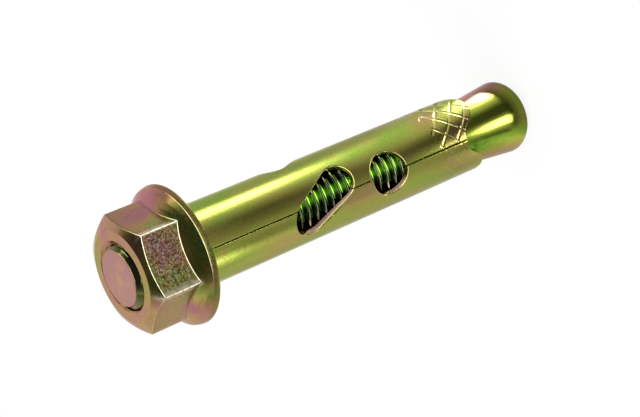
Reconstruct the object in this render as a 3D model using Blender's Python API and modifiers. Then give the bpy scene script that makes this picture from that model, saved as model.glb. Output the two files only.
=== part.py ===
# Sleeve anchor: a threaded stud with an expander cone, a rolled split sleeve round it
# and a hexagonal flange nut on top. It stands on the flat end of the cone.
# Lengths are in metres, angles in degrees, and +Z points from the cone to the nut.

import bmesh
import bpy
from math import cos, pi, radians, sin, tan
from mathutils import Matrix, Vector

# Stud
THREAD_DIAMETER = 0.0098
THREAD_PITCH = 0.0015
NECK_DIAMETER = 0.0087
CONE_UNDERSIZE = 0.0002
CONE_HALF_ANGLE = 5.75
CONE_EDGE_RADIUS = 0.0016
NECK_LENGTH = 0.005
STUD_END_CHAMFER = 0.00065
STUD_PROUD = 0.0005

# Sleeve
SLEEVE_LENGTH = 0.0542
SHEET = 0.00085
SEAM_GAP = 0.0002
LOBES = 3
LOBE_DEPTH = 0.0037
NOTCH_HALF_WIDTH = 0.00275
NOTCH_STEEPNESS = 4
SLANT_WINDOW_LENGTH = 0.0122
SLANT_WINDOW_WIDTH = 0.0053
SLANT_WINDOW_ANGLE = 29.0
SLANT_WINDOW_BELOW_NUT = 0.0223
ROUND_WINDOW_DIAMETER = 0.0067
ROUND_WINDOW_BELOW_NUT = 0.0344
ROUND_WINDOW_SLIP = 0.0002
SEAM_DIRECTION = -90.0

# Flange nut
ACROSS_FLATS = 0.015
NUT_HEIGHT = 0.0087
NUT_CHAMFER_ANGLE = 25.0
NUT_LAND_INSET = 0.0009
FLANGE_WIDTH = 0.0027
FLANGE_SLOPE = 26.0
FLANGE_TOP_RADIUS = 0.0018
FLANGE_BAND_HEIGHT = 0.0001
FLANGE_FOOT_RADIUS = 0.00015
COUNTERSINK_WIDTH = 0.00025
RELIEF_DEPTH = 0.0001
RELIEF_INSET = 0.0003
NUT_TURN = 9.5

# Clearances
SLEEVE_CLEARANCE = 0.00015
SEAT_CLEARANCE = 0.00012
NUT_SEAT_GAP = 0.0001
THREAD_CLEARANCE = 0.0001

# Facets
TURNED_STEPS = 72
BEND_LINES = 72
ARC_STEPS = 8
BEND_SNAP = 0.00001
MERGE_DISTANCE = 0.0000001
CUT_SPARE = 0.002

# Places worked out from the sizes above
thread_radius = THREAD_DIAMETER / 2
neck_radius = NECK_DIAMETER / 2
bore_radius = thread_radius + SLEEVE_CLEARANCE
sleeve_radius = bore_radius + SHEET
cone_radius = sleeve_radius - CONE_UNDERSIZE / 2
cone_rise = tan(radians(CONE_HALF_ANGLE))
seat_height = CONE_EDGE_RADIUS + (cone_radius - bore_radius + SEAT_CLEARANCE) / cone_rise
cone_top = CONE_EDGE_RADIUS + (cone_radius - neck_radius) / cone_rise
thread_start = cone_top + NECK_LENGTH
sleeve_top = seat_height + SLEEVE_LENGTH
nut_base = sleeve_top + NUT_SEAT_GAP - RELIEF_DEPTH
nut_top = nut_base + NUT_HEIGHT
stud_top = nut_top + STUD_PROUD
hex_corner = ACROSS_FLATS / 2 / cos(pi / 6)
flange_radius = ACROSS_FLATS / 2 + FLANGE_WIDTH


def arc(center, radius, start, end, steps=ARC_STEPS):
    """Points of an arc from one angle to the other, in degrees."""
    angles = [radians(start + (end - start) * i / steps) for i in range(steps + 1)]
    return [(center[0] + radius * cos(a), center[1] + radius * sin(a)) for a in angles]


def collection(name):
    group = bpy.data.collections.new(name)
    bpy.context.scene.collection.children.link(group)
    return group


def material(name, color, roughness, metallic=1.0):
    surface = bpy.data.materials.new(name)
    surface.use_nodes = True
    shader = surface.node_tree.nodes["Principled BSDF"]
    shader.inputs["Base Color"].default_value = (*color, 1.0)
    shader.inputs["Roughness"].default_value = roughness
    shader.inputs["Metallic"].default_value = metallic
    return surface


def add_object(name, mesh, group):
    thing = bpy.data.objects.new(name, mesh)
    group.objects.link(thing)
    return thing


def turned(name, profile, group):
    """Solid of revolution about Z; the profile runs down its outer side, top to bottom."""
    mesh = bpy.data.meshes.new(name)
    points = [(radius, 0.0, height) for radius, height in profile]
    mesh.from_pydata(points, [(i, i + 1) for i in range(len(points) - 1)], [])
    thing = add_object(name, mesh, group)
    screw = thing.modifiers.new("turn", "SCREW")
    screw.axis = "Z"
    screw.steps = screw.render_steps = TURNED_STEPS
    screw.use_merge_vertices = True
    screw.merge_threshold = MERGE_DISTANCE
    return thing


def flat_plate(name, outline, thickness, group):
    """Flat plate with the closed outline, centred on the plane Z = 0."""
    curve = bpy.data.curves.new(name, "CURVE")
    curve.dimensions = "2D"
    curve.fill_mode = "BOTH"
    curve.extrude = thickness / 2
    spline = curve.splines.new("POLY")
    spline.points.add(len(outline) - 1)
    for point, (x, y) in zip(spline.points, outline):
        point.co = (x, y, 0.0, 1.0)
    spline.use_cyclic_u = True
    source = add_object(name + "_outline", curve, group)
    mesh = evaluated_mesh(source, name)
    bpy.data.objects.remove(source)
    work = bmesh.new()
    work.from_mesh(mesh)
    bmesh.ops.remove_doubles(work, verts=work.verts, dist=MERGE_DISTANCE)
    bmesh.ops.recalc_face_normals(work, faces=work.faces)
    work.to_mesh(mesh)
    work.free()
    return add_object(name, mesh, group)


def evaluated_mesh(thing, name):
    """Mesh of an object with its modifiers applied."""
    graph = bpy.context.evaluated_depsgraph_get()
    graph.update()
    mesh = bpy.data.meshes.new_from_object(thing.evaluated_get(graph))
    mesh.name = name
    return mesh


def combine(thing, other, operation):
    step = thing.modifiers.new(other.name, "BOOLEAN")
    step.operation = operation
    step.solver = "EXACT"
    step.object = other
    other.hide_render = True
    other.display_type = "WIRE"


def shade(thing, surface, sharp_angle=30.0):
    thing.data.materials.clear()
    thing.data.materials.append(surface)
    thing.data.shade_smooth()
    thing.data.set_sharp_from_angle(angle=radians(sharp_angle))


def notch_share(distance):
    """How deep the end is notched, 1 in the middle of a notch and 0 at a lobe's tip."""
    far = pi * sleeve_radius / LOBES
    at_tip = 1 / (1 + (far / NOTCH_HALF_WIDTH) ** NOTCH_STEEPNESS)
    here = 1 / (1 + (distance / NOTCH_HALF_WIDTH) ** NOTCH_STEEPNESS)
    return (here - at_tip) / (1 - at_tip)


def notch_centers():
    """Places along the flat blank that lie on the seam or over a notch of the end."""
    step = 2 * pi * sleeve_radius / LOBES
    return [-pi * sleeve_radius + i * step for i in range(LOBES + 1)]


def bend_places():
    """Places along the flat blank where it bends when it is rolled."""
    step = 2 * pi * sleeve_radius / BEND_LINES
    return [(i - BEND_LINES / 2) * step for i in range(1, BEND_LINES)]


def blank_outline():
    """Flat blank of the sleeve: straight top, straight seam edges and a lobed lower end."""
    half = pi * sleeve_radius - SEAM_GAP / 2
    lower = []
    for x in [-half, *bend_places(), half]:
        distance = min(abs(x - center) for center in notch_centers())
        lower.append((x, seat_height + LOBE_DEPTH * notch_share(distance)))
    return lower + [(half, sleeve_top), (-half, sleeve_top)]


def slanted_window(center_x):
    """Outline of a window with parallel sides and round ends, leaning to the left."""
    radius = SLANT_WINDOW_WIDTH / 2
    reach = SLANT_WINDOW_LENGTH / 2 - radius
    lean = radians(SLANT_WINDOW_ANGLE)
    along = Vector((-sin(lean), cos(lean))) * reach
    middle = Vector((center_x, sleeve_top - SLANT_WINDOW_BELOW_NUT))
    turn = SLANT_WINDOW_ANGLE
    upper = arc(middle + along, radius, turn, turn + 180)
    lower = arc(middle - along, radius, turn + 180, turn + 360)
    return upper + lower


def round_window(center_x, slip):
    center = (center_x, sleeve_top - ROUND_WINDOW_BELOW_NUT - slip)
    return arc(center, ROUND_WINDOW_DIAMETER / 2, 0, 360, 4 * ARC_STEPS)[:-1]


def punched_blank(group):
    """The blank with its windows punched through, as one mesh."""
    blank = flat_plate("sleeve_blank", blank_outline(), SHEET, group)
    blank.hide_render = True
    centers = notch_centers()
    outlines = [slanted_window(x) for x in centers]
    outlines.append(round_window(centers[0], 0.0))
    outlines.append(round_window(centers[-1], ROUND_WINDOW_SLIP))
    for number, outline in enumerate(outlines):
        punch = flat_plate(f"window_punch_{number + 1}", outline, SHEET + 2 * CUT_SPARE, group)
        combine(blank, punch, "DIFFERENCE")
    return evaluated_mesh(blank, "sleeve")


def roll(mesh):
    """Roll the flat blank into a tube: its upper face becomes the outside."""
    work = bmesh.new()
    work.from_mesh(mesh)
    for place in bend_places():
        geometry = work.verts[:] + work.edges[:] + work.faces[:]
        bmesh.ops.bisect_plane(
            work, geom=geometry, dist=BEND_SNAP, plane_co=(place, 0, 0), plane_no=(1, 0, 0)
        )
    bmesh.ops.triangulate(work, faces=work.faces)
    for vert in work.verts:
        x, height, depth = vert.co
        angle = radians(SEAM_DIRECTION + 180) + x / sleeve_radius
        radius = sleeve_radius - SHEET / 2 + depth
        vert.co = (radius * cos(angle), radius * sin(angle), height)
    work.to_mesh(mesh)
    work.free()
    return mesh


def make_sleeve(parts, tools, surface):
    sleeve = add_object("sleeve", roll(punched_blank(tools)), parts)
    shade(sleeve, surface)
    return sleeve


def make_stud(parts, surface):
    """Stud, neck and expander cone, forged and rolled from one piece."""
    edge = arc((cone_radius - CONE_EDGE_RADIUS, CONE_EDGE_RADIUS), CONE_EDGE_RADIUS, 0, -90)
    profile = [
        (0.0, stud_top),
        (thread_radius - STUD_END_CHAMFER, stud_top),
        (thread_radius, stud_top - STUD_END_CHAMFER),
        (thread_radius, thread_start + THREAD_PITCH),
        (neck_radius, thread_start),
        (neck_radius, cone_top),
        *edge,
        (0.0, 0.0),
    ]
    stud = turned("stud", profile, parts)
    shade(stud, surface)
    return stud


def nut_envelope():
    """Turned outline that the hexagon is cut to: the top chamfer and straight sides."""
    outside = hex_corner + CUT_SPARE
    land = ACROSS_FLATS / 2 - NUT_LAND_INSET
    side_top = nut_top - (outside - land) * tan(radians(NUT_CHAMFER_ANGLE))
    return [(0.0, nut_top), (land, nut_top), (outside, side_top), (outside, nut_base), (0.0, nut_base)]


def flange_outline():
    """Turned outline of the flange: a sloping top that rounds over to its rim, and a flat underside."""
    inner = ACROSS_FLATS / 2 - CUT_SPARE / 2
    radius, foot = FLANGE_TOP_RADIUS, FLANGE_FOOT_RADIUS
    center = (flange_radius - radius, nut_base + foot + FLANGE_BAND_HEIGHT)
    edge = arc(center, radius, 90 - FLANGE_SLOPE, 0)
    start = edge[0]
    rise = (start[0] - inner) * tan(radians(FLANGE_SLOPE))
    lower = arc((flange_radius - foot, nut_base + foot), foot, 0, -90)
    top = start[1] + rise
    return [(0.0, top), (inner, top), *edge, *lower, (0.0, nut_base)]


def nut_bore():
    """Cutter for the threaded hole, countersunk at both ends, and the relief over the sleeve."""
    hole = thread_radius + THREAD_CLEARANCE
    wide = thread_radius + COUNTERSINK_WIDTH
    depth = wide - hole
    above, below = nut_top + CUT_SPARE, nut_base - CUT_SPARE
    seat = nut_base + RELIEF_DEPTH
    relief = sleeve_radius + RELIEF_INSET
    return [
        (0.0, above),
        (wide + CUT_SPARE, above),
        (hole, nut_top - depth),
        (hole, seat + depth),
        (wide, seat),
        (relief, seat),
        (relief, below),
        (0.0, below),
    ]


def make_nut(parts, tools, surface):
    """Hexagon cut to its chamfer, joined to the turned flange, then bored."""
    work = bmesh.new()
    low = nut_base + FLANGE_TOP_RADIUS / 2
    high = nut_top + CUT_SPARE
    bmesh.ops.create_cone(
        work, cap_ends=True, segments=6, radius1=hex_corner, radius2=hex_corner, depth=high - low
    )
    first_flat = pi / 2 - pi / 6
    facing = radians(SEAM_DIRECTION + NUT_TURN)
    bmesh.ops.rotate(work, verts=work.verts, matrix=Matrix.Rotation(facing - first_flat, 3, "Z"))
    bmesh.ops.translate(work, verts=work.verts, vec=(0, 0, (high + low) / 2))
    mesh = bpy.data.meshes.new("flange_nut")
    work.to_mesh(mesh)
    work.free()
    nut = add_object("flange_nut", mesh, parts)
    combine(nut, turned("nut_envelope", nut_envelope(), tools), "INTERSECT")
    combine(nut, turned("flange_body", flange_outline(), tools), "UNION")
    combine(nut, turned("bore_cutter", nut_bore(), tools), "DIFFERENCE")
    shade(nut, surface)
    return nut


for thing in list(bpy.data.objects):
    bpy.data.objects.remove(thing)

anchor = collection("sleeve_anchor")
cutters = collection("cutters")
yellow_zinc = material("yellow_zinc_steel", (0.42, 0.36, 0.12), 0.28)
olive_zinc = material("olive_zinc_steel", (0.36, 0.38, 0.12), 0.25)
rose_zinc = material("rose_zinc_steel", (0.5, 0.36, 0.24), 0.3)
make_stud(anchor, olive_zinc)
make_sleeve(anchor, cutters, yellow_zinc)
make_nut(anchor, cutters, rose_zinc)
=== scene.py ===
from math import pi, radians, tan

import bmesh
import bpy
import numpy as np
from mathutils import Matrix, Vector


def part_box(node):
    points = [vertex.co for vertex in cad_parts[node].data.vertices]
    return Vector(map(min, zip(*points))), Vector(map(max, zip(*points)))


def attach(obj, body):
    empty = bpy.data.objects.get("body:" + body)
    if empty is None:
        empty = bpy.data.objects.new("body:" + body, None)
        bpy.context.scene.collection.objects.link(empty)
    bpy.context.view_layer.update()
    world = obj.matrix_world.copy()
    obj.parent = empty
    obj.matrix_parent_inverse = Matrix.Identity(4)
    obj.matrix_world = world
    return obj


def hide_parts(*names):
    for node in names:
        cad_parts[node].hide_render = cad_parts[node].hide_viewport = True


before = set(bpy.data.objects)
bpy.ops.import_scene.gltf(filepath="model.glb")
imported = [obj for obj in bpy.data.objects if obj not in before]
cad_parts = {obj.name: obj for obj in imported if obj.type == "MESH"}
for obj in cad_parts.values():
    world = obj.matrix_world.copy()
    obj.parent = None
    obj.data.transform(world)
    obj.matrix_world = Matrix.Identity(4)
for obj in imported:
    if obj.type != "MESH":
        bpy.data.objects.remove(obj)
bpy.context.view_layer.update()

mm = 0.001
mergeGap = 1e-4  # in mm, between points that are taken as one

# Heights and radii in mm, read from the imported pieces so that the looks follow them
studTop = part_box("stud")[1].z / mm
sleeveBase, sleeveTop = (corner.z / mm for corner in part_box("sleeve"))
nutBase, nutTop = (corner.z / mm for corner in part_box("flange_nut"))
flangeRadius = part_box("flange_nut")[1].x / mm
print("frame loaded: stud top", round(studTop, 3), "nut", round(nutBase, 3), round(nutTop, 3))


def gridFaces(rows, cols, shift=0, start=0):
    # quads of a grid whose last column joins the first, shift rows further up
    index = np.arange(rows * cols).reshape(rows, cols)
    after = np.full((rows, cols), -1)
    after[:, :-1] = index[:, 1:]
    after[: rows - shift, -1] = index[shift:, 0]
    quads = np.stack([index[:-1], after[:-1], after[1:], index[1:]], axis=-1).reshape(-1, 4)
    return quads[(quads >= 0).all(axis=1)] + start


def joined(grids):
    # several closed grids as one list of points and one of faces
    points, faces, start = [], [], 0
    for grid, shift in grids:
        rows, cols = grid.shape[:2]
        faces += gridFaces(rows, cols, shift, start).tolist()
        points.append(grid.reshape(-1, 3))
        start += rows * cols
    return np.concatenate(points), faces


def setMarks(mesh, marks):
    # a number for each point, under the name that the materials read
    for label, values in marks.items():
        store = mesh.attributes.new(label, "FLOAT", "POINT")
        store.data.foreach_set("value", np.asarray(values, np.float32).ravel())


def meshObject(name, points, faces, marks):
    # points in mm become a mesh in metres, with doubles merged and faces outwards
    mesh = bpy.data.meshes.new(name)
    mesh.from_pydata(np.asarray(points).tolist(), [], faces)
    setMarks(mesh, marks)
    work = bmesh.new()
    work.from_mesh(mesh)
    bmesh.ops.remove_doubles(work, verts=work.verts, dist=mergeGap)
    bmesh.ops.dissolve_degenerate(work, edges=work.edges, dist=mergeGap)
    bmesh.ops.recalc_face_normals(work, faces=work.faces)
    work.to_mesh(mesh)
    work.free()
    mesh.transform(Matrix.Scale(mm, 4))
    thing = bpy.data.objects.new(name, mesh)
    bpy.context.scene.collection.objects.link(thing)
    return thing


def smoothShade(thing, sharpAngle):
    thing.data.shade_smooth()
    thing.data.set_sharp_from_angle(angle=radians(sharpAngle))


def smoothStep(low, high, value):
    # 0 below low, 1 above high and an S between them
    share = np.clip((value - low) / (high - low), 0, 1)
    return share * share * (3 - 2 * share)


def roundedChain(corners, radii, steps=6):
    # a chain of straight runs with rounded corners, for every direction at once: each corner
    # gives the points of the arc that touches both of its runs, radius * tan(turn / 2) away
    rows = []
    for place, corner in enumerate(corners):
        radius = radii[place]
        if radius == 0:
            rows.append(corner)
            continue
        before = corner - corners[place - 1]
        after = corners[place + 1] - corner
        before = before / np.linalg.norm(before, axis=-1, keepdims=True)
        after = after / np.linalg.norm(after, axis=-1, keepdims=True)
        cross = before[..., 0] * after[..., 1] - before[..., 1] * after[..., 0]
        turn = np.arctan2(cross, (before * after).sum(-1))
        side = np.sign(turn)[..., None]
        normal = np.stack([-before[..., 1], before[..., 0]], -1) * side
        begin = corner - before * (radius * np.tan(np.abs(turn) / 2))[..., None]
        center = begin + normal * radius
        for step in range(steps + 1):
            angle = turn * step / steps
            spoke = begin - center
            rows.append(center + np.stack([
                spoke[..., 0] * np.cos(angle) - spoke[..., 1] * np.sin(angle),
                spoke[..., 0] * np.sin(angle) + spoke[..., 1] * np.cos(angle)], -1))
    return np.stack(rows)


def spun(rowsOfRadiusHeight, angles):
    # each (radius, height) goes round the axis: x = radius cos angle, y = radius sin angle
    radius, height = rowsOfRadiusHeight[..., 0], rowsOfRadiusHeight[..., 1]
    return np.stack([radius * np.cos(angles), radius * np.sin(angles),
                     np.broadcast_to(height, radius.shape)], -1)


def helixGrid(low, high, pitch, rowsPerTurn, angles, radiusAt):
    # rows climb with the helix, height = row * pitch / rowsPerTurn + pitch * angle / turn, and
    # stop at both ends, so a thread's crest runs along the rows
    count = int((high - low) / pitch * rowsPerTurn) + 2 * rowsPerTurn + 2
    row = np.arange(count)[:, None] * pitch / rowsPerTurn
    height = np.clip(low - pitch + row + pitch * angles[None] / (2 * pi), low, high)
    radius = radiusAt(height, height - pitch * angles[None] / (2 * pi))
    return np.stack([radius * np.cos(angles), radius * np.sin(angles), height], -1)


def filmShift(angle, height, patches):
    # soft patches where the film is thicker or thinner: each one has its middle in degrees and
    # mm, its half width in degrees, its half height in mm and its shift of the film
    shift = np.zeros(np.shape(height))
    for middle, level, wide, tall, amount in patches:
        around = (np.degrees(angle) - middle + 180) % 360 - 180
        shift += amount * np.exp(-(around / wide) ** 2 - ((height - level) / tall) ** 2)
    return shift


studPlan = {
    "threadRadius": 4.88, "pitch": 1.5, "threadDepth": 0.9, "flankSlope": 1.732,
    "crestWidth": 0.1, "crestRound": 0.06, "rootRound": 0.12, "runOut": 2.2,
    "neckRadius": 4.35, "coneRadius": 5.8, "coneAngle": 5.75, "coneEdge": 1.6, "neckLength": 5.0,
    "endChamfer": 0.85, "endRound": 0.07, "faceDish": 0.03, "columns": 120, "rowsPerTurn": 16,
    # film patches: the one all round at 38 mm is painted shade on the thread inside the sleeve, and the one
    # at -79 degrees lightens a strip of it again as a painted highlight
    "film": [(-6, 6, 30, 9, 0.7), (-152, 6, 26, 9, 0.5), (-92, 5, 16, 9, 0.1), (-118, 5, 14, 9, -0.14),
             (0, 38, 400, 20, -0.4), (0, 73.68, 400, 0.14, 0.85), (0, 73.1, 400, 0.3, -0.1),
             (90, 6, 30, 9, 0.3), (-79, 38, 11, 24, 0.3)],
    # the green strip down the thread that follows is a painted highlight, given like a film patch
    "freshBand": (-82, 38, 9, 26, 1.0),
    # how far under the crests the pale edge, a painted highlight, starts and is full, how far the thread's
    # looks keep from its two ends, and the height and strength of the painted shade on the chamfer
    "crestBand": (0.13, 0.03), "threadMargins": (1, 2), "darkHeight": 1.6, "darkShare": 0.85,
}


def threadCut(place, plan):
    # how deep a 60 degree thread is cut at a place along the pitch, 0 on the crest: the flanks
    # fall by flankSlope for each mm away from the crest and stop at the rounded root
    away = np.abs((place / plan["pitch"] + 0.5) % 1 - 0.5) * plan["pitch"]
    flank = (away - plan["crestWidth"] / 2) * plan["flankSlope"]
    soft, bend, full = plan["rootRound"], plan["crestRound"], plan["threadDepth"]
    crest = bend * np.logaddexp(0, flank / bend) - bend * np.log(2) * np.exp(-np.abs(flank) / bend)
    return np.clip(full - soft * np.logaddexp(0, (full - crest) / soft), 0, None)


def makeStud(plan):
    angles = np.arange(plan["columns"]) / plan["columns"] * 2 * pi
    rise = tan(radians(plan["coneAngle"]))
    edge, ease = plan["coneEdge"], plan["endRound"]
    coneTop = edge + (plan["coneRadius"] - plan["neckRadius"]) / rise
    threadStart, threadEnd = coneTop + plan["neckLength"], studTop - ease
    crestRadius, endRadius = plan["threadRadius"], plan["threadRadius"] - plan["endChamfer"]

    def radiusAt(height, place):
        cut = crestRadius - threadCut(place, plan)
        full = smoothStep(threadStart, threadStart + plan["runOut"], height)
        body = plan["neckRadius"] + (cut - plan["neckRadius"]) * full
        return np.minimum(body, endRadius + (threadEnd - height))

    thread = helixGrid(threadStart, threadEnd, plan["pitch"], plan["rowsPerTurn"], angles, radiusAt)
    # end face: a small round edge, then rings to the middle with a slight dish
    ends = [(endRadius - ease * (1 - np.cos(a)), studTop - ease * (1 - np.sin(a)))
            for a in np.linspace(0, pi / 2, 5)]
    ends += [(endRadius * s, studTop - plan["faceDish"] * (1 - s)) for s in (0.9, 0.75, 0.5, 0.25, 0.0)]
    cap = spun(np.repeat(np.array(ends)[:, None], len(angles), 1), angles)
    # other end, from the middle out: the flat, its round edge, the cone and the neck
    low = [(0.0, 0.0)] + [((plan["coneRadius"] - edge) * s, 0.0) for s in (0.25, 0.5, 0.75, 0.92)]
    low += [(plan["coneRadius"] - edge + edge * np.sin(a), edge - edge * np.cos(a))
            for a in np.linspace(0, pi / 2, 12)]
    low += [(plan["coneRadius"] - (h - edge) * rise, h) for h in np.linspace(edge, coneTop, 28)[1:]]
    low += [(plan["neckRadius"], h) for h in np.linspace(coneTop, threadStart, 8)[1:]]
    base = spun(np.repeat(np.array(low)[:, None], len(angles), 1), angles)
    points, faces = joined([(base, 0), (thread, plan["rowsPerTurn"]), (cap, 0)])
    around, height = np.arctan2(points[:, 1], points[:, 0]), points[:, 2]
    film = filmShift(around, height, plan["film"])
    below = crestRadius - np.array(plan["crestBand"])
    crest = smoothStep(*below, np.hypot(points[:, 0], points[:, 1]))
    startMargin, endMargin = plan["threadMargins"]
    onThread = (height > threadStart + startMargin) & (height < studTop - endMargin)
    # a painted highlight: a strip of bright green down the thread
    fresh = filmShift(around, height, [plan["freshBand"]]) * onThread
    # the chamfer at the end is darker: painted shade
    dark = (height > studTop - plan["darkHeight"]) & (height < studTop - ease * 0.8)
    # the crests' pale edge is a painted highlight
    marks = {"film": film, "worn": crest * onThread, "fresh": fresh, "dark": dark * plan["darkShare"]}
    thing = meshObject("threadedStud", points, faces, marks)
    smoothShade(thing, 50)
    return thing


sleevePlan = {
    "radius": 5.9, "sheet": 0.85, "seamAngle": 90.0, "seamGap": 0.17, "lipProud": 0.05, "lipRamp": (1.1, 0.2),
    "sideRound": 0.1, "outerRound": 0.2, "innerRound": 0.06,
    "lobes": 3, "lobeDepth": 3.7, "lobeFade": 10.5, "notchHalfWidth": 2.75, "notchSteepness": 4,
    "slantLength": 12.2, "slantWidth": 5.3, "slantAngle": 29.0, "slantBelowNut": 22.3,
    "roundDiameter": 6.7, "roundBelowNut": 34.4, "roundSlip": 0.2,
    "columns": 250, "fineRow": 0.14, "coarseRow": 0.55, "rowSpare": 0.05,
    "knurlTop": 19.7, "knurlRound": 12, "knurlPitch": 3.15, "knurlDepth": 0.1, "knurlWidth": 0.27,
    "knurlCross": (-16.57, 17.51), "knurlFaint": (9.0, 12.0),
    # pale rims of the windows, in part a painted highlight line: least depth in the sheet, distances from the
    # edge, strength
    "rimDepth": 0.2, "rimBand": (0.04, 0.2), "rimShare": 0.2,
    # walls of the windows: reach from the edge and depths in the sheet, the way that the dull
    # ones face with where they fade in, and how much each kind shifts the film
    "wallReach": 0.12, "wallDepths": (-0.38, 0.3), "dullSide": (-0.87, -0.48), "dullFade": (0.75, 0.97),
    "wallFilm": 0.15, "dullFilm": 0.4,
    "film": [(-74, 45, 14, 60, 0.14), (-106, 35.5, 15, 6, 0.34), (-15, 56, 16, 12, -0.2),
             (-118, 57, 16, 7, -0.06), (-100, 26, 14, 4, 0.12), (-30, 24, 14, 5, -0.1),
             (-64, 11, 14, 6, 0.3), (-122, 14, 20, 6, 0.18), (-33, 18.5, 14, 2.5, 0.4),
             (-125, 50, 14, 5, 0.22), (-45, 31, 12, 5, -0.2), (-128, 20, 14, 4, -0.16),
             (100, 40, 40, 14, 0.3), (170, 24, 30, 9, 0.2)],
}


def sleeveEnd(x, plan):
    # height of the lobed lower end: notches over the seam and at each third, 1 / (1 + (x / w)^4)
    third = 2 * pi * plan["radius"] / plan["lobes"]
    away = np.abs((x + pi * plan["radius"] + third / 2) % third - third / 2)
    shape = 1 / (1 + (away / plan["notchHalfWidth"]) ** plan["notchSteepness"])
    tip = 1 / (1 + (third / 2 / plan["notchHalfWidth"]) ** plan["notchSteepness"])
    return sleeveBase + plan["lobeDepth"] * (shape - tip) / (1 - tip)


def windowCenters(plan):
    # places along the flat blank of the slanted windows, then of the halves of the round one
    turn = 2 * pi * plan["radius"]
    slant = [(-turn / 2 + i * turn / 3, sleeveTop - plan["slantBelowNut"]) for i in range(4)]
    low = sleeveTop - plan["roundBelowNut"]
    return slant, [(-turn / 2, low), (turn / 2, low - plan["roundSlip"])]


def windowDistance(x, height, plan):
    # signed distance from the nearest window's edge, below 0 inside it
    slant, halves = windowCenters(plan)
    radius = plan["slantWidth"] / 2
    reach = plan["slantLength"] / 2 - radius
    lean = radians(plan["slantAngle"])
    along = np.array([-np.sin(lean), np.cos(lean)])
    nearest = np.full(x.shape, 1e3)
    for cx, cy in slant:
        dx, dy = x - cx, height - cy
        t = np.clip(dx * along[0] + dy * along[1], -reach, reach)
        nearest = np.minimum(nearest, np.hypot(dx - t * along[0], dy - t * along[1]) - radius)
    for cx, cy in halves:
        nearest = np.minimum(nearest, np.hypot(x - cx, height - cy) - plan["roundDiameter"] / 2)
    return nearest


def windowOutline(center, reach, radius, lean, steps=28):
    # two half circles joined by straight sides; with no reach it is a circle
    up = np.linspace(0, pi, steps) + lean
    along = np.array([-np.sin(lean), np.cos(lean)]) * reach
    arcUp = np.stack([np.cos(up), np.sin(up)], -1) * radius + along
    return np.concatenate([arcUp, -arcUp]) + np.array(center)


def windowPunch(center, reach, radius, lean, plan):
    # the punch flares where it leaves the sheet, so that the cut's edges come out rounded
    half = plan["sheet"] / 2
    levels = [(-half - 0.5, plan["innerRound"])]
    for a in np.linspace(1.35, 0, 4):
        levels.append((-half + plan["innerRound"] * (1 - np.sin(a)), plan["innerRound"] * (1 - np.cos(a))))
    for a in np.linspace(0, 1.4, 6):
        levels.append((half - plan["outerRound"] * (1 - np.sin(a)), plan["outerRound"] * (1 - np.cos(a))))
    levels.append((half + 0.5, plan["outerRound"] * 1.05))
    rings = []
    for depth, spare in levels:
        ring = windowOutline(center, reach, radius + spare, lean)
        rings.append(np.column_stack([ring, np.full(len(ring), depth)]))
    grid = np.stack(rings)
    rows, cols = grid.shape[:2]
    faces = gridFaces(rows, cols).tolist()
    faces += [list(range(cols))[::-1], list(range((rows - 1) * cols, rows * cols))]
    return grid.reshape(-1, 3), faces


def flatBlank(plan):
    # the sheet laid flat in mm: a thin loop with rounded long edges, carried from the lobed end
    # to the straight top; the rows follow the lobes and even out above them
    half = pi * plan["radius"] - plan["seamGap"] / 2
    thick, edge, spare = plan["sheet"] / 2, plan["sideRound"], plan["rowSpare"]
    along = np.linspace(-half + edge, half - edge, plan["columns"])
    bend = np.linspace(pi / 2, 0, 5)[1:]
    corner = [(half - edge + edge * np.cos(a), thick - edge + edge * np.sin(a)) for a in bend]
    sideEdge = corner + [(x, -depth) for x, depth in corner[::-1]]
    loop = [(x, thick) for x in along] + sideEdge + [(x, -thick) for x in along[::-1]]
    loop += [(-x, -depth) for x, depth in sideEdge]
    loop = np.array(loop)
    fine = np.arange(sleeveBase, plan["knurlTop"] + 1, plan["fineRow"])
    coarse = np.linspace(fine[-1], sleeveTop, int((sleeveTop - fine[-1]) / plan["coarseRow"]))[1:]
    levels = np.concatenate([fine, coarse])
    x = np.broadcast_to(loop[None, :, 0], (len(levels), len(loop)))
    fade = 1 - smoothStep(0, plan["lobeFade"], levels - sleeveBase)[:, None]
    height = levels[:, None] + (sleeveEnd(x, plan) - sleeveBase) * fade
    depth = np.broadcast_to(loop[None, :, 1], x.shape).copy()
    body = np.stack([x, height, depth], -1)
    bends = np.linspace(0, pi / 2, 4)[:-1]
    lower, upper = [], []
    for a in bends:
        inset = plan["outerRound"] * (1 - np.sin(a))
        sink = plan["outerRound"] * (1 - np.cos(a))
        shrink = (thick - inset) / thick
        lower.append(np.stack([x[0], height[0] + sink, depth[0] * shrink], -1))
        upper.append(np.stack([x[0], height[-1] - sink, depth[0] * shrink], -1))
    start = body[0].copy()
    start[:, 1] += plan["outerRound"]
    stop = body[-1].copy()
    stop[:, 1] -= plan["outerRound"]
    keep = (body[:, 0, 1] > start[0, 1] + spare) & (body[:, 0, 1] < stop[0, 1] - spare)
    grid = np.concatenate([np.stack(lower), start[None], body[keep], stop[None], np.stack(upper[::-1])])
    rows, cols = grid.shape[:2]
    faces = gridFaces(rows, cols).tolist()
    count, side = plan["columns"], len(sideEdge)
    outer = np.arange(count)
    inner = (count + side + np.arange(count))[::-1]
    cap = np.stack([outer[:-1], outer[1:], inner[1:], inner[:-1]], -1)
    right = [count - 1] + list(range(count, count + side)) + [count + side]
    left = [2 * count + side - 1] + list(range(2 * count + side, 2 * count + 2 * side)) + [0]
    top = (rows - 1) * cols
    faces += cap[:, ::-1].tolist() + [right[::-1], left[::-1]]
    faces += (cap + top).tolist() + [[i + top for i in right], [i + top for i in left]]
    return grid.reshape(-1, 3), faces


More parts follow.
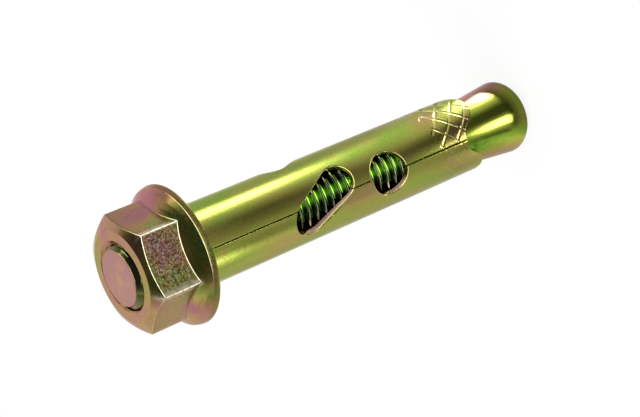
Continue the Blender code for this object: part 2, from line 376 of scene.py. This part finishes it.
def knurlCut(x, height, plan):
    # two families of lines at about 45 degrees: a line runs where x / width +- height / pitch is
    # a whole number, and its groove is a narrow bell across it
    width = 2 * pi * plan["radius"] / plan["knurlRound"]
    across, up = (x - plan["knurlCross"][0]) / width, (height - plan["knurlCross"][1]) / plan["knurlPitch"]
    slope = np.hypot(1 / width, 1 / plan["knurlPitch"])
    groove = np.zeros(x.shape)
    for value in (across + up, across - up):
        away = np.abs((value + 0.5) % 1 - 0.5) / slope
        groove = np.maximum(groove, np.exp(-(away / (plan["knurlWidth"] / 2)) ** 2))
        groove = groove - 0.25 * np.exp(-((away - plan["knurlWidth"]) / (plan["knurlWidth"] / 2)) ** 2)
    ragged = plan["knurlTop"] + 0.5 * np.sin(across * 2 * pi) - height
    strength = smoothStep(0, 0.6, ragged) * (1 - 0.85 * smoothStep(*plan["knurlFaint"], x))
    return groove * strength * plan["knurlDepth"]


def makeSleeve(plan):
    scene = bpy.context.scene
    points, faces = flatBlank(plan)
    mesh = bpy.data.meshes.new("rolledSleeve")
    mesh.from_pydata(points.tolist(), [], faces)
    thing = bpy.data.objects.new("rolledSleeve", mesh)
    scene.collection.objects.link(thing)
    slant, halves = windowCenters(plan)
    radius = plan["slantWidth"] / 2
    jobs = [(c, plan["slantLength"] / 2 - radius, radius, radians(plan["slantAngle"])) for c in slant]
    jobs += [(c, 0.0, plan["roundDiameter"] / 2, 0.0) for c in halves]
    allPoints, allFaces, start = [], [], 0
    for job in jobs:
        ringPoints, ringFaces = windowPunch(*job, plan)
        allPoints.append(ringPoints)
        allFaces += [[i + start for i in face] for face in ringFaces]
        start += len(ringPoints)
    punchMesh = bpy.data.meshes.new("punch")
    punchMesh.from_pydata(np.concatenate(allPoints).tolist(), [], allFaces)
    work = bmesh.new()
    work.from_mesh(punchMesh)
    bmesh.ops.remove_doubles(work, verts=work.verts, dist=mergeGap)
    bmesh.ops.recalc_face_normals(work, faces=work.faces)
    work.to_mesh(punchMesh)
    work.free()
    punch = bpy.data.objects.new("punch", punchMesh)
    scene.collection.objects.link(punch)
    cut = thing.modifiers.new("windows", "BOOLEAN")
    cut.operation, cut.solver, cut.object = "DIFFERENCE", "EXACT", punch
    graph = bpy.context.evaluated_depsgraph_get()
    graph.update()
    flat = bpy.data.meshes.new_from_object(thing.evaluated_get(graph))
    thing.modifiers.clear()
    bpy.data.objects.remove(punch)
    thing.data = flat
    flat.name = "rolledSleeve"
    print("sleeve punched:", len(flat.vertices), "points")
    # roll: angle = seam + 180 + x / radius, distance from the axis = radius - sheet / 2 + depth
    co = np.empty(len(flat.vertices) * 3)
    flat.vertices.foreach_get("co", co)
    x, height, depth = co.reshape(-1, 3).T
    gap = windowDistance(x, height, plan)
    outside = depth > plan["sheet"] / 2 - 0.01
    distance = plan["radius"] - plan["sheet"] / 2 + depth
    distance = distance - np.where(outside, knurlCut(x, height, plan), 0)
    # one lip of the seam stands a little proud of the other
    lipStart, lipFull = plan["lipRamp"]
    lip = smoothStep(pi * plan["radius"] - lipStart, pi * plan["radius"] - lipFull, x)
    distance = distance + plan["lipProud"] * lip
    angle = radians(plan["seamAngle"]) + x / plan["radius"]
    rolled = np.stack([distance * np.cos(angle), distance * np.sin(angle), height], -1) * mm
    flat.vertices.foreach_set("co", rolled.ravel())
    # a pale rim round each window, in part a painted highlight line
    rim = np.where(depth > plan["rimDepth"], 1 - smoothStep(*plan["rimBand"], gap), 0.0)
    deepest, highest = plan["wallDepths"]
    wall = ((gap < plan["wallReach"]) & (depth > deepest) & (depth < highest)).astype(float)
    # the wall on one side of each window is dull and pinkish
    step = 0.02
    across = windowDistance(x + step, height, plan) - windowDistance(x - step, height, plan)
    up = windowDistance(x, height + step, plan) - windowDistance(x, height - step, plan)
    toward = (across * plan["dullSide"][0] + up * plan["dullSide"][1]) / (2 * step)
    dull = wall * smoothStep(*plan["dullFade"], toward)
    # where the knurl lines run, for a painted highlight along them
    lines = np.where(outside, knurlCut(x, height, plan) / plan["knurlDepth"], 0)
    film = filmShift(angle, height, plan["film"]) + plan["wallFilm"] * wall + plan["dullFilm"] * dull
    setMarks(flat, {"worn": rim * plan["rimShare"], "groove": np.clip(lines, 0, 1), "film": film,
                    "sheared": dull})
    flat.update()
    smoothShade(thing, 45)
    return thing


nutPlan = {
    "acrossFlats": 15.0, "turn": 9.5, "chamferAngle": 25.0, "landInset": 0.9, "cornerRound": 0.28,
    "slope": 26.0, "slopeBend": 0.104, "flangeHeight": 2.69, "rimInset": 0.25,
    "landRound": 0.25, "crownRound": 0.2, "filletRound": 0.3, "flangeRound": 1.5, "rimRound": 0.2,
    "footRound": 0.15, "boreRadius": 5.0, "boreWide": 5.15, "reliefRadius": 6.2, "reliefDepth": 0.1,
    "threadDepth": 0.78, "crestWidth": 0.3, "rowsPerTurn": 16, "flatColumns": 12, "cornerColumns": 12,
    # rows of the outline: the bared rounds of the crown, the foot and the rim with how bare each
    # is, the rows of the sides with their rounds, and those of the flats alone
    "bareRows": [(9, 14, 1.0), (24, 28, 0.6), (45, 50, 0.6)], "sideRows": (8, 29), "flatRows": (15, 23),
    # a side is coarse up to the first of these angles from the coarse direction and fine past the
    # second; a fine side has this share of the bareness and of the grain
    "coarseTurn": (33, 38), "fineBare": 0.25, "fineGrain": 0.1,
    "film": [(-64, 5.5, 14, 3.5, 0.2), (-98, 4.6, 15, 3.0, -0.4), (-86, 3.2, 10, 1.0, 0.4),
             (-13, 5, 13, 3, 0.4), (-38, 5, 9, 3, -0.35), (-138, 4.6, 22, 3.2, -0.24),
             (5, 1.9, 26, 1.3, 0.5), (-121, 1.7, 10, 1.4, -0.6), (-147, 1.7, 12, 1.3, 0.5),
             (-45, 1.8, 16, 1.2, -0.4), (-80, 1.9, 28, 1.3, -0.45), (-60, 0.3, 400, 0.5, -0.2),
             (150, 4, 30, 4, -0.3), (60, 5, 30, 4, -0.25), (-80, 8.0, 32, 0.7, -0.4),
             (75, 8.7, 28, 0.3, -0.25), (145, 8.7, 20, 0.3, 0.25), (15, 8.7, 14, 0.3, 0.2)],
}


def fromFlat(around):
    # angle from the middle of the nearest flat
    return np.abs((around + pi / 6) % (pi / 3) - pi / 6)


def hexAngles(plan):
    # directions round the nut, close together where the corners are rounded
    bend = plan["acrossFlats"] / 2 - plan["cornerRound"]
    touch = np.arctan2(bend * tan(pi / 6), plan["acrossFlats"] / 2)
    flat = np.linspace(-touch, touch, plan["flatColumns"], endpoint=False)
    corner = np.linspace(touch, pi / 3 - touch, plan["cornerColumns"], endpoint=False)
    sector = np.concatenate([flat, corner])
    return (sector[None] + np.arange(6)[:, None] * pi / 3).ravel(), touch


def hexRadius(around, touch, plan):
    # distance to the side: flat / cos(angle) on a flat, and the round of the corner past it
    half, ease = plan["acrossFlats"] / 2, plan["cornerRound"]
    local = fromFlat(around)
    center = (half - ease) / np.cos(pi / 6)
    off = pi / 6 - local
    inside = np.maximum(ease ** 2 - (center * np.sin(off)) ** 2, 0)
    return np.where(local <= touch, half / np.cos(local), center * np.cos(off) + np.sqrt(inside))


def makeNut(plan):
    around, touch = hexAngles(plan)
    side = hexRadius(around, touch, plan)
    facing = radians(sleevePlan["seamAngle"] - 180 + plan["turn"])
    angles = (around + facing) % (2 * pi)
    order = np.argsort(angles)
    angles, side = angles[order], side[order]
    half = plan["acrossFlats"] / 2
    land = half - plan["landInset"]
    chamfer = tan(radians(plan["chamferAngle"]))
    rimRadius = flangeRadius - plan["rimInset"]
    seat = nutBase + plan["reliefDepth"]

    def ring(radius, height):
        return np.stack([np.broadcast_to(radius, side.shape), np.broadcast_to(height, side.shape)], -1)

    def onFlange(radius):
        # the top gets steeper outwards: height = at hexagon - slope * out - bend * out^2
        out = radius - half
        atHexagon = nutBase + plan["flangeHeight"]
        return atHexagon - tan(radians(plan["slope"])) * out - plan["slopeBend"] * out ** 2

    third, twoThirds = side + (rimRadius - side) / 3, side + (rimRadius - side) * 2 / 3
    crown, foot = nutTop - (side - land) * chamfer, onFlange(side)
    corners = [
        ring(plan["boreWide"], nutTop),
        ring(land, nutTop),
        ring(side, crown),
        *(ring(side, crown + (foot - crown) * share) for share in np.linspace(0.08, 0.92, 8)),
        ring(side, foot),
        ring(third, onFlange(third)),
        ring(twoThirds, onFlange(twoThirds)),
        ring(rimRadius, onFlange(rimRadius)),
        ring(flangeRadius, nutBase),
        ring(plan["reliefRadius"], nutBase),
        ring(plan["reliefRadius"], seat),
        ring(plan["boreWide"], seat),
    ]
    radii = [0, plan["landRound"], plan["crownRound"], *[0] * 8, plan["filletRound"], plan["flangeRound"],
             plan["flangeRound"], plan["rimRound"], plan["footRound"], 0, 0, 0]
    chain = roundedChain(corners, radii)
    nutThread = {**studPlan, "threadDepth": plan["threadDepth"], "crestWidth": plan["crestWidth"]}

    def radiusAt(height, place):
        cut = plan["boreRadius"] - (plan["threadDepth"] - threadCut(place + studPlan["pitch"] / 2, nutThread))
        wide = np.maximum(plan["boreWide"] - (nutTop - height), plan["boreWide"] - (height - seat))
        return np.maximum(cut, wide)

    outside = spun(chain, angles)
    bore = helixGrid(seat, nutTop, studPlan["pitch"], plan["rowsPerTurn"], angles, radiusAt)
    points, faces = joined([(outside, 0), (bore, plan["rowsPerTurn"])])
    bare = np.zeros(outside.shape[:2])
    for first, stop, share in plan["bareRows"]:
        bare[first:stop] = share
    around = np.arctan2(outside[..., 1], outside[..., 0]) - facing
    local = fromFlat(around)
    # two opposite sides are coarser and have barer edges
    coarse, fine = plan["coarseTurn"]
    rough = 1 - smoothStep(radians(coarse), radians(fine), np.arccos(np.abs(np.cos(around))))
    row = np.arange(len(chain))
    onSide, onFlat = ((row >= first) & (row <= last) for first, last in (plan["sideRows"], plan["flatRows"]))
    bare = np.maximum(bare, (local > touch) * onSide[:, None])
    bare = bare * (plan["fineBare"] + (1 - plan["fineBare"]) * rough)
    grain = (local <= touch) * onFlat[:, None] * (plan["fineGrain"] + (1 - plan["fineGrain"]) * rough)
    inBore = np.zeros(bore.shape[0] * bore.shape[1])
    film = filmShift(np.arctan2(points[:, 1], points[:, 0]), points[:, 2] - nutBase, plan["film"])
    marks = {"worn": np.concatenate([bare.ravel(), inBore]), "grain": np.concatenate([grain.ravel(), inBore]),
             "film": film}
    thing = meshObject("flangeNut", points, faces, marks)
    smoothShade(thing, 40)
    return thing


class Wire:
    # a socket that takes part in sums: wire * 2 + other adds the Math nodes for it
    def __init__(self, finish, socket):
        self.finish, self.socket = finish, socket

    def math(self, operation, *values, swap=False):
        values = [self, *values]
        if swap:
            values = values[::-1]
        return self.finish.add("ShaderNodeMath", {"operation": operation}, dict(enumerate(values)))

    def __add__(self, other):
        return self.math("ADD", other)

    def __sub__(self, other):
        return self.math("SUBTRACT", other)

    def __rsub__(self, other):
        return self.math("SUBTRACT", other, swap=True)

    def __mul__(self, other):
        return self.math("MULTIPLY", other)

    __radd__, __rmul__ = __add__, __mul__


class Finish:
    # one node tree: add() makes a node with its settings first, then its sockets
    def __init__(self, holder):
        holder.use_nodes = True
        self.tree = holder.node_tree
        self.tree.nodes.clear()

    def add(self, kind, settings=None, inputs=None, output=0):
        node = self.tree.nodes.new(kind)
        for key, value in (settings or {}).items():
            if key == "stops":
                ramp = node.color_ramp
                ramp.elements.remove(ramp.elements[1])
                ramp.elements[0].position, ramp.elements[0].color = value[0][0], (*value[0][1], 1)
                for place, color in value[1:]:
                    ramp.elements.new(place).color = (*color, 1)
            else:
                setattr(node, key, value)
        for key, value in (inputs or {}).items():
            if isinstance(value, Wire):
                self.tree.links.new(value.socket, node.inputs[key])
            else:
                node.inputs[key].default_value = value
        return Wire(self, node.outputs[output]) if len(node.outputs) else None

    def noise(self, vector, scale, detail=2.0, roughness=0.5, distortion=0.0):
        return self.add("ShaderNodeTexNoise", {}, {"Vector": vector, "Scale": scale, "Detail": detail,
                        "Roughness": roughness, "Distortion": distortion})

    def remap(self, value, low, high, out=(0.0, 1.0)):
        return self.add("ShaderNodeMapRange", {"interpolation_type": "SMOOTHSTEP"},
                        {"Value": value, "From Min": low, "From Max": high,
                         "To Min": out[0], "To Max": out[1]})

    def blend(self, factor, first, second, kind="MIX"):
        return self.add("ShaderNodeMix", {"data_type": "RGBA", "blend_type": kind, "clamp_factor": True},
                        {0: factor, 6: first, 7: second}, output=2)

    def shade(self, color, amount):
        # a colour made darker or lighter by a number
        grey = self.add("ShaderNodeCombineColor", {}, {0: amount, 1: amount, 2: amount})
        return self.blend(1.0, color, grey, "MULTIPLY")


def paint(red, green, blue):
    return (red, green, blue, 1.0)


# stops are the film's colours as linear light, along its value from 0 to 1; level is a piece's
# usual value, and spread how far the film's clouds, patch mm across and stretched along the axis,
# reach from it; rough is the range of its roughness, grain and wave the size of its bumps and of
# their broad part, and edge the tint of its grazing reflections
finishes = {
    "stud": {"stops": [(0.0, (0.025, 0.06, 0.006)), (0.08, (0.08, 0.22, 0.012)), (0.18, (0.22, 0.42, 0.03)),
                       (0.32, (0.38, 0.48, 0.05)), (0.5, (0.46, 0.44, 0.07)), (0.68, (0.52, 0.38, 0.14)),
                       (0.84, (0.46, 0.27, 0.17)), (1.0, (0.41, 0.21, 0.18))],
             "level": 0.3, "spread": 0.2, "patch": 5.0, "stretch": 2.0, "rough": (0.05, 0.09),
             "grain": 0.006, "wave": 0.0, "edge": paint(1.0, 0.8, 0.8)},
    "sleeve": {"stops": [(0.0, (0.18, 0.42, 0.03)), (0.2, (0.34, 0.50, 0.06)), (0.38, (0.44, 0.48, 0.085)),
                         (0.52, (0.48, 0.43, 0.09)), (0.66, (0.54, 0.40, 0.14)), (0.82, (0.57, 0.35, 0.18)),
                         (1.0, (0.50, 0.31, 0.26))],
               "level": 0.38, "spread": 0.34, "patch": 4.5, "stretch": 2.0, "rough": (0.12, 0.18),
               "grain": 0.02, "wave": 4.0, "edge": paint(0.95, 0.9, 0.8)},
    "flange_nut": {"stops": [(0.0, (0.2, 0.34, 0.05)), (0.25, (0.30, 0.30, 0.06)), (0.5, (0.42, 0.28, 0.08)),
                             (0.75, (0.43, 0.22, 0.13)), (1.0, (0.42, 0.165, 0.17))],
                   "level": 0.66, "spread": 0.55, "patch": 3.5, "stretch": 1.0, "rough": (0.14, 0.22),
                   "grain": 0.02, "wave": 2.0, "edge": paint(0.95, 0.8, 0.8)},
}

# what all the pieces share: scales are noise cells for each mm
skinPlan = {
    "fineScale": 2.4, "speckScale": 5.5, "mottleScale": 0.8, "waveScale": 0.14,
    "mottleShift": 0.3, "fineShift": 0.2, "speckTint": (0.86, 1.08),
    # the painted highlight's green on the thread and the painted shade's colour on the stud's chamfer
    "freshColor": paint(0.36, 0.8, 0.1), "freshShare": 0.85, "darkColor": paint(0.11, 0.09, 0.04),
    "pitScale": 2.4, "pitTint": (0.45, 1.45),
    "crystalScale": 3.9, "crystalColor": paint(0.85, 0.75, 0.55), "crystalShare": 0.8,
    # the pale edge's colour, for wear and for painted highlights
    "paleEdgeScale": 1.6, "paleEdgeShare": (0.4, 0.9), "bareAndGlintColor": paint(0.9, 0.84, 0.64),
    # the painted highlight along the knurl lines
    "grooveGlintColor": paint(0.92, 0.8, 0.32), "grooveGlintShare": 0.7,
    "dullRough": 0.4, "dullMetal": 0.35, "grainScale": 2.6, "grainHeight": 9,
    "bumpStrength": 0.4, "coat": 0.15, "coatRough": 0.1,
}


def zincFinish(name, plan, marks):
    # marks are the point attributes that the piece's mesh carries: film moves the film's colour,
    # the pale-edge mark is a bared edge on the nut and a painted highlight on the thread's crests and, in
    # part, on the windows' rims, groove a painted highlight along the bottom of a knurl line, grain a coarser
    # skin, the green-strip mark a painted highlight down the thread, dark painted shade on the chamfer at its
    # end, sheared a dull window wall
    material = bpy.data.materials.new(name)
    finish, skin = Finish(material), skinPlan
    place = finish.add("ShaderNodeTexCoord", {}, {}, output="Object")
    spot = finish.add("ShaderNodeMapping", {"vector_type": "POINT"},
                      {"Vector": place, "Scale": (1000, 1000, 1000 / plan["stretch"])})
    point = finish.add("ShaderNodeMapping", {"vector_type": "POINT"},
                       {"Vector": place, "Scale": (1000, 1000, 1000)})
    mark = {label: finish.add("ShaderNodeAttribute", {"attribute_name": label}, {}, output="Fac")
            for label in marks}
    cloud = finish.noise(spot, 1 / plan["patch"], 3.0, 0.5, 0.5)
    fine = finish.noise(point, skin["fineScale"], 4.0, 0.6)
    speck = finish.noise(point, skin["speckScale"], 3.0, 0.7)
    mottle = finish.noise(point, skin["mottleScale"], 2.0, 0.6)
    film = (cloud - 0.5) * (2 * plan["spread"]) + (mottle - 0.5) * skin["mottleShift"]
    film = film + (fine - 0.5) * skin["fineShift"] + plan["level"] + mark["film"]
    color = finish.add("ShaderNodeValToRGB", {"stops": plan["stops"]}, {0: film})
    color = finish.shade(color, finish.remap(speck, 0.3, 0.7, skin["speckTint"]))
    # a painted highlight down the thread
    if "fresh" in mark:
        color = finish.blend(mark["fresh"] * skin["freshShare"], color, skin["freshColor"])
    # painted shade on the chamfer
    if "dark" in mark:
        color = finish.blend(mark["dark"], color, skin["darkColor"])
    if "grain" in mark:
        # dark pits and bright crystals on the coarse flats
        pits = finish.remap(finish.noise(point, skin["pitScale"], 3.0, 0.7), 0.4, 0.6, skin["pitTint"])
        color = finish.shade(color, pits * mark["grain"] + (1.0 - mark["grain"]))
        bright = finish.remap(finish.noise(point, skin["crystalScale"], 2.0, 0.6), 0.54, 0.62) * mark["grain"]
        color = finish.blend(bright * skin["crystalShare"], color, skin["crystalColor"])
    if "worn" in mark:
        # the pale edge, bared on the nut and a painted highlight on crests and rims, is uneven
        uneven = finish.remap(finish.noise(point, skin["paleEdgeScale"], 2.0, 0.6), 0.36, 0.56, skin["paleEdgeShare"])
        color = finish.blend(mark["worn"] * uneven, color, skin["bareAndGlintColor"])
    # a painted highlight along the knurl lines
    if "groove" in mark:
        color = finish.blend(mark["groove"] * skin["grooveGlintShare"], color, skin["grooveGlintColor"])
    roughness = finish.remap(fine, 0.25, 0.75, plan["rough"])
    metal = 1.0
    if "sheared" in mark:
        roughness = roughness + mark["sheared"] * skin["dullRough"]
        metal = 1.0 - mark["sheared"] * skin["dullMetal"]
    height = fine + speck * 0.7 + finish.noise(point, skin["waveScale"], 1.0) * plan["wave"]
    if "grain" in mark:
        coarse = finish.noise(point, skin["grainScale"], 3.0, 0.75)
        height = height + coarse * mark["grain"] * skin["grainHeight"]
    bump = finish.add("ShaderNodeBump", {}, {
        "Strength": skin["bumpStrength"], "Distance": plan["grain"] * mm, "Height": height})
    shader = finish.add("ShaderNodeBsdfPrincipled", {}, {
        "Base Color": color, "Metallic": metal, "Roughness": roughness, "Normal": bump,
        "Specular Tint": plan["edge"], "Coat Weight": skin["coat"], "Coat Roughness": skin["coatRough"]})
    finish.add("ShaderNodeOutputMaterial", {}, {"Surface": shader})
    return material


def dress(thing, body, node, material):
    thing.data.materials.clear()
    thing.data.materials.append(material)
    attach(thing, body)
    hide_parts(node)
    print(thing.name, "made:", len(thing.data.vertices), "points")


studZinc = zincFinish("studZinc", finishes["stud"], ("film", "fresh", "worn", "dark"))
dress(makeStud(studPlan), "stud", "stud", studZinc)
sleeveZinc = zincFinish("sleeveZinc", finishes["sleeve"], ("film", "worn", "groove", "sheared"))
dress(makeSleeve(sleevePlan), "sleeve", "sleeve", sleeveZinc)
nutZinc = zincFinish("nutZinc", finishes["flange_nut"], ("film", "worn", "grain"))
dress(makeNut(nutPlan), "nut", "flange_nut", nutZinc)


studioPlan = {
    "floorSize": 3.0, "floorDrop": 0.0002, "showShadow": 0.12,
    # the grey ring on the floor, which only reflections see: for a radius in mm the strength by
    # azimuth in degrees
    "azimuthStep": 2.0, "ringHeight": -0.15,
    "ringSteps": (0, 6, 9, 11.8, 13.4, 15, 18, 21, 24, 27, 31, 36, 42, 50, 60, 72, 85, 102, 115, 130, 150,
                  180, 640),
    "ringGlow": [
        (9, [(-178, 0.6), (-140, 0.9), (-119, 0.5), (-100, 0.3), (-60, 0.3), (-20, 0.35), (0, 0.4),
             (40, 0.7), (147, 0.6)]),
        (11.8, [(-178, 0.6), (-140, 1.0), (-119, 0.5), (-107, 0.12), (-84, 0.06), (-60, 0.05),
                (-30, 0.12), (0, 0.12), (20, 0.5), (40, 0.8), (110, 1.0), (147, 0.6)]),
        (13.4, [(-178, 0.6), (-155, 0.7), (-140, 1.0), (-127, 0.8), (-119, 0.15), (-109, 0.4),
                (-102, 0.8), (-98, 5.0), (-90, 9.0), (-84, 6.0), (-79, 0.5), (-69, 0.08),
                (-52, 0.08), (-44, 0.25), (-36, 0.6), (-30, 1.0), (-23, 2.2), (-17, 9.0), (2, 15.0),
                (13, 8.0), (18, 1.5), (26, 0.8), (40, 0.9), (68, 0.8), (110, 1.0), (147, 0.6)]),
        (22, [(-178, 0.5), (-155, 0.6), (-140, 0.75), (-127, 0.6), (-119, 0.2), (-111, 0.4),
              (-103, 1.5), (-97, 7.0), (-91, 7.0), (-84, 1.5), (-77, 0.25), (-69, 0.09),
              (-52, 0.09), (-44, 0.25), (-35, 0.7), (-27, 0.9), (-15, 1.4), (-5, 2.0), (5, 1.4),
              (15, 0.7), (40, 0.5), (68, 0.9), (110, 0.9), (147, 0.6)]),
        (25, [(-178, 0.5), (-147, 0.6), (-127, 0.55), (-119, 0.3), (-111, 0.4), (-100, 0.9),
              (-96, 2.5), (-91, 2.0), (-86, 0.6), (-77, 0.2), (-69, 0.1), (-52, 0.1), (-44, 0.25),
              (-35, 0.6), (-20, 0.75), (-5, 0.8), (5, 0.75), (15, 0.7), (40, 0.6), (68, 0.8),
              (110, 0.9), (147, 0.6)]),
        (30, [(-177, 0.6), (-147, 0.6), (-130, 0.5), (-117, 0.42), (-100, 0.7), (-86, 0.35),
              (-72, 0.1), (-60, 0.1), (-48, 0.3), (-36, 0.62), (-20, 0.75), (0, 0.75), (20, 0.8),
              (40, 0.7), (63, 0.6), (93, 0.9), (143, 0.6)]),
        (42, [(-177, 0.65), (-147, 0.68), (-127, 0.52), (-117, 0.46), (-97, 0.3), (-80, 0.18),
              (-67, 0.15), (-57, 0.28), (-47, 0.44), (-37, 0.56), (-20, 0.75), (-5, 0.9), (8, 0.9),
              (20, 0.66), (43, 0.5), (63, 0.5), (93, 1.1), (143, 0.55)]),
        (60, [(-177, 0.65), (-147, 0.62), (-127, 0.46), (-117, 0.46), (-97, 0.38), (-80, 0.26),
              (-57, 0.2), (-47, 0.32), (-37, 0.5), (-27, 0.7), (-15, 1.2), (-5, 1.6), (5, 1.25),
              (15, 0.8), (24, 0.55), (43, 0.5), (63, 0.6), (93, 1.2), (143, 0.6)]),
        (85, [(-177, 0.75), (-160, 0.75), (-147, 0.85), (-136, 0.6), (-127, 0.26), (-117, 0.5),
              (-97, 0.48), (-86, 0.33), (-77, 0.2), (-57, 0.1), (-47, 0.24), (-37, 0.42),
              (-28, 0.7), (-20, 1.2), (-13, 3.0), (-4, 8.0), (5, 3.0), (11, 0.8), (18, 0.6),
              (43, 0.55), (63, 0.6), (93, 1.4), (113, 0.9), (143, 0.55)]),
        (102, [(-177, 0.75), (-147, 0.6), (-127, 0.26), (-117, 0.5), (-97, 0.4), (-77, 0.2),
               (-57, 0.1), (-47, 0.24), (-28, 0.7), (-20, 1.2), (-12, 4.5), (-4, 8.0), (4, 4.5),
               (11, 0.9), (18, 0.6), (63, 0.6), (93, 1.4), (143, 0.55)]),
        (130, [(-177, 0.6), (-162, 0.6), (-152, 2.0), (-142, 5.0), (-132, 2.5), (-122, 0.5),
               (-105, 0.55), (-84, 0.45), (-65, 0.42), (-45, 0.4), (-28, 0.7), (-20, 1.4),
               (-12, 5.2), (-4, 6.0), (4, 5.0), (11, 1.4), (18, 0.6), (36, 0.8), (63, 0.6),
               (93, 1.0), (113, 0.9), (150, 0.85)]),
        (180, [(-177, 0.6), (-150, 0.5), (-125, 0.45), (20, 0.45), (50, 0.5), (93, 1.0),
               (150, 0.65)]),
    ],
    # the flag overhead: its strength by elevation, and a lighter part of it, given by its middle
    # and half width in degrees, its strength and the elevations between which it fades
    "flagHeight": 600, "flagTop": 89.5, "flagRows": 24, "flagSkip": 3,
    "flagGlow": [(43, 0.8), (50, 0.25), (56, 0.07), (72, 0.07), (84, 0.11), (90, 0.13)],
    "sideGlow": (157, 32, 0.7, 54, 68),
    "wallGlow": [(-175, 0.35), (-150, 0.25), (-130, 0.25), (-115, 2.0), (-77, 3.5), (-40, 2.5), (0, 2.5),
                 (12, 3.5), (20, 2.5), (28, 0.35), (55, 0.9), (103, 1.0), (155, 0.9)],
    "wallFoot": [(-175, 0.5), (-130, 0.25), (-115, 0.15), (10, 0.15), (35, 0.3), (60, 0.9), (155, 0.9)],
    "wallRise": (0, 110, 160, 600),
    "fillPlace": (-0.5, -0.1, 0.5), "fillAim": (0, 0, 0.035), "fillWide": 0.5, "fillPower": 2.0,
}


def glowMaterial(name, shadowShare=0.0, label=None):
    # white for the camera and for reflections, with a share of plain paint that takes a shadow
    material = bpy.data.materials.new(name)
    finish = Finish(material)
    color = paint(1, 1, 1)
    if label:
        color = finish.add("ShaderNodeAttribute", {"attribute_name": label}, {}, output="Color")
    glow = finish.add("ShaderNodeEmission", {}, {"Color": color, "Strength": 1.0})
    if shadowShare:
        rays = [finish.add("ShaderNodeLightPath", {}, {}, output=kind)
                for kind in ("Is Camera Ray", "Is Glossy Ray", "Is Transmission Ray")]
        plain = finish.add("ShaderNodeBsdfDiffuse", {}, {"Color": paint(0.9, 0.9, 0.9)})
        share = rays[0] * (1 - shadowShare) + rays[1] + rays[2]
        glow = finish.add("ShaderNodeMixShader", {}, {0: share, 1: plain, 2: glow})
    finish.add("ShaderNodeOutputMaterial", {}, {"Surface": glow})
    return material


def stagePiece(name, points, faces, material, marks):
    mesh = bpy.data.meshes.new(name)
    mesh.from_pydata(points, [], faces)
    mesh.materials.append(material)
    setMarks(mesh, marks)
    thing = bpy.data.objects.new(name, mesh)
    bpy.context.scene.collection.objects.link(thing)
    return thing


def reflectorCard(name, radii, heights, azimuths, glow):
    # a turned card, its rows at radii and heights in mm and with a strength at each point, that
    # is seen only in reflections
    sweep = np.radians(azimuths)
    shape = (len(radii), len(sweep))
    across, up = (np.broadcast_to(np.reshape(value, (-1, 1)), shape) for value in (radii, heights))
    grid = spun(np.stack([across, up], -1), sweep) * mm
    faces = gridFaces(*grid.shape[:2]).tolist()
    material = glowMaterial(name, label="glow")
    card = stagePiece(name, grid.reshape(-1, 3).tolist(), faces, material, {"glow": glow})
    card.visible_camera = card.visible_diffuse = card.visible_shadow = False


def glowAround(steps, azimuths):
    # strength at each azimuth, on straight lines between the given ones
    return np.interp(azimuths, *np.array(steps).T, period=360)


def makeStudio(plan):
    scene = bpy.context.scene
    reach, low = plan["floorSize"] / 2, -plan["floorDrop"]
    square = [(-reach, -reach, low), (reach, -reach, low), (reach, reach, low), (-reach, reach, low)]
    stagePiece("floor", square, [(0, 1, 2, 3)], glowMaterial("floorWhite", plan["showShadow"]), {})
    azimuths = np.arange(-180, 180, plan["azimuthStep"])
    known = [radius for radius, steps in plan["ringGlow"]]
    rings = np.stack([glowAround(steps, azimuths) for radius, steps in plan["ringGlow"]])
    glow = np.stack([np.interp(plan["ringSteps"], known, column) for column in rings.T], -1)
    reflectorCard("floorReflector", plan["ringSteps"], plan["ringHeight"], azimuths, glow)
    # the flag's radius at an elevation is height / tan(elevation)
    elevation = np.linspace(plan["flagGlow"][0][0], plan["flagTop"], plan["flagRows"])
    strength = np.interp(elevation, *np.array(plan["flagGlow"]).T)
    radii = plan["flagHeight"] / np.tan(np.radians(elevation))
    flagAzimuths = azimuths[::plan["flagSkip"]]
    side, wide, amount, low, high = plan["sideGlow"]
    away = (flagAzimuths - side + 180) % 360 - 180
    beside = amount * np.exp(-(away / wide) ** 2) * (1 - smoothStep(low, high, elevation[:, None]))
    reflectorCard("overheadFlag", radii, plan["flagHeight"], flagAzimuths, strength[:, None] + beside)
    # a wall of cloth joins the ring and the flag, darker in its lowest part
    foot, upper = (glowAround(plan[part], azimuths) for part in ("wallFoot", "wallGlow"))
    wall = np.stack([foot, foot, upper, upper])
    reflectorCard("tentWall", [radii[0]] * len(wall), plan["wallRise"], azimuths, wall)
    world = bpy.data.worlds.new("studioWhite")
    scene.world = world
    finish = Finish(world)
    light = finish.add("ShaderNodeBackground", {}, {"Color": paint(1, 1, 1), "Strength": 1.0})
    finish.add("ShaderNodeOutputWorld", {}, {"Surface": light})
    # the lamp adds to the soft shadow on the floor; what the metal mirrors is the cards
    data = bpy.data.lights.new("fillLamp", "AREA")
    data.shape, data.size, data.energy = "DISK", plan["fillWide"], plan["fillPower"]
    lamp = bpy.data.objects.new("fillLamp", data)
    scene.collection.objects.link(lamp)
    lamp.location = plan["fillPlace"]
    toward = Vector(plan["fillAim"]) - lamp.location
    lamp.rotation_euler = toward.to_track_quat("-Z", "Y").to_euler()
    lamp.visible_glossy = False


cameraPlan = {
    "place": (0.03831, -0.17639, 0.16093), "forward": (-0.18537, 0.80937, -0.55728),
    "up": (0.94408, -0.01067, -0.32953), "lens": 84.38, "sensor": 36.0,
}


def makeCamera(plan):
    data = bpy.data.cameras.new("photoCamera")
    data.lens, data.sensor_width, data.clip_start = plan["lens"], plan["sensor"], 0.005
    camera = bpy.data.objects.new("photoCamera", data)
    bpy.context.scene.collection.objects.link(camera)
    back = -Vector(plan["forward"]).normalized()
    right = Vector(plan["up"]).cross(back).normalized()
    up = back.cross(right)
    turn = Matrix((right, up, back)).transposed().to_4x4()
    camera.matrix_world = Matrix.Translation(plan["place"]) @ turn
    bpy.context.scene.camera = camera


makeStudio(studioPlan)
makeCamera(cameraPlan)
bpy.context.scene.view_settings.view_transform = "Standard"
print("studio and camera set")
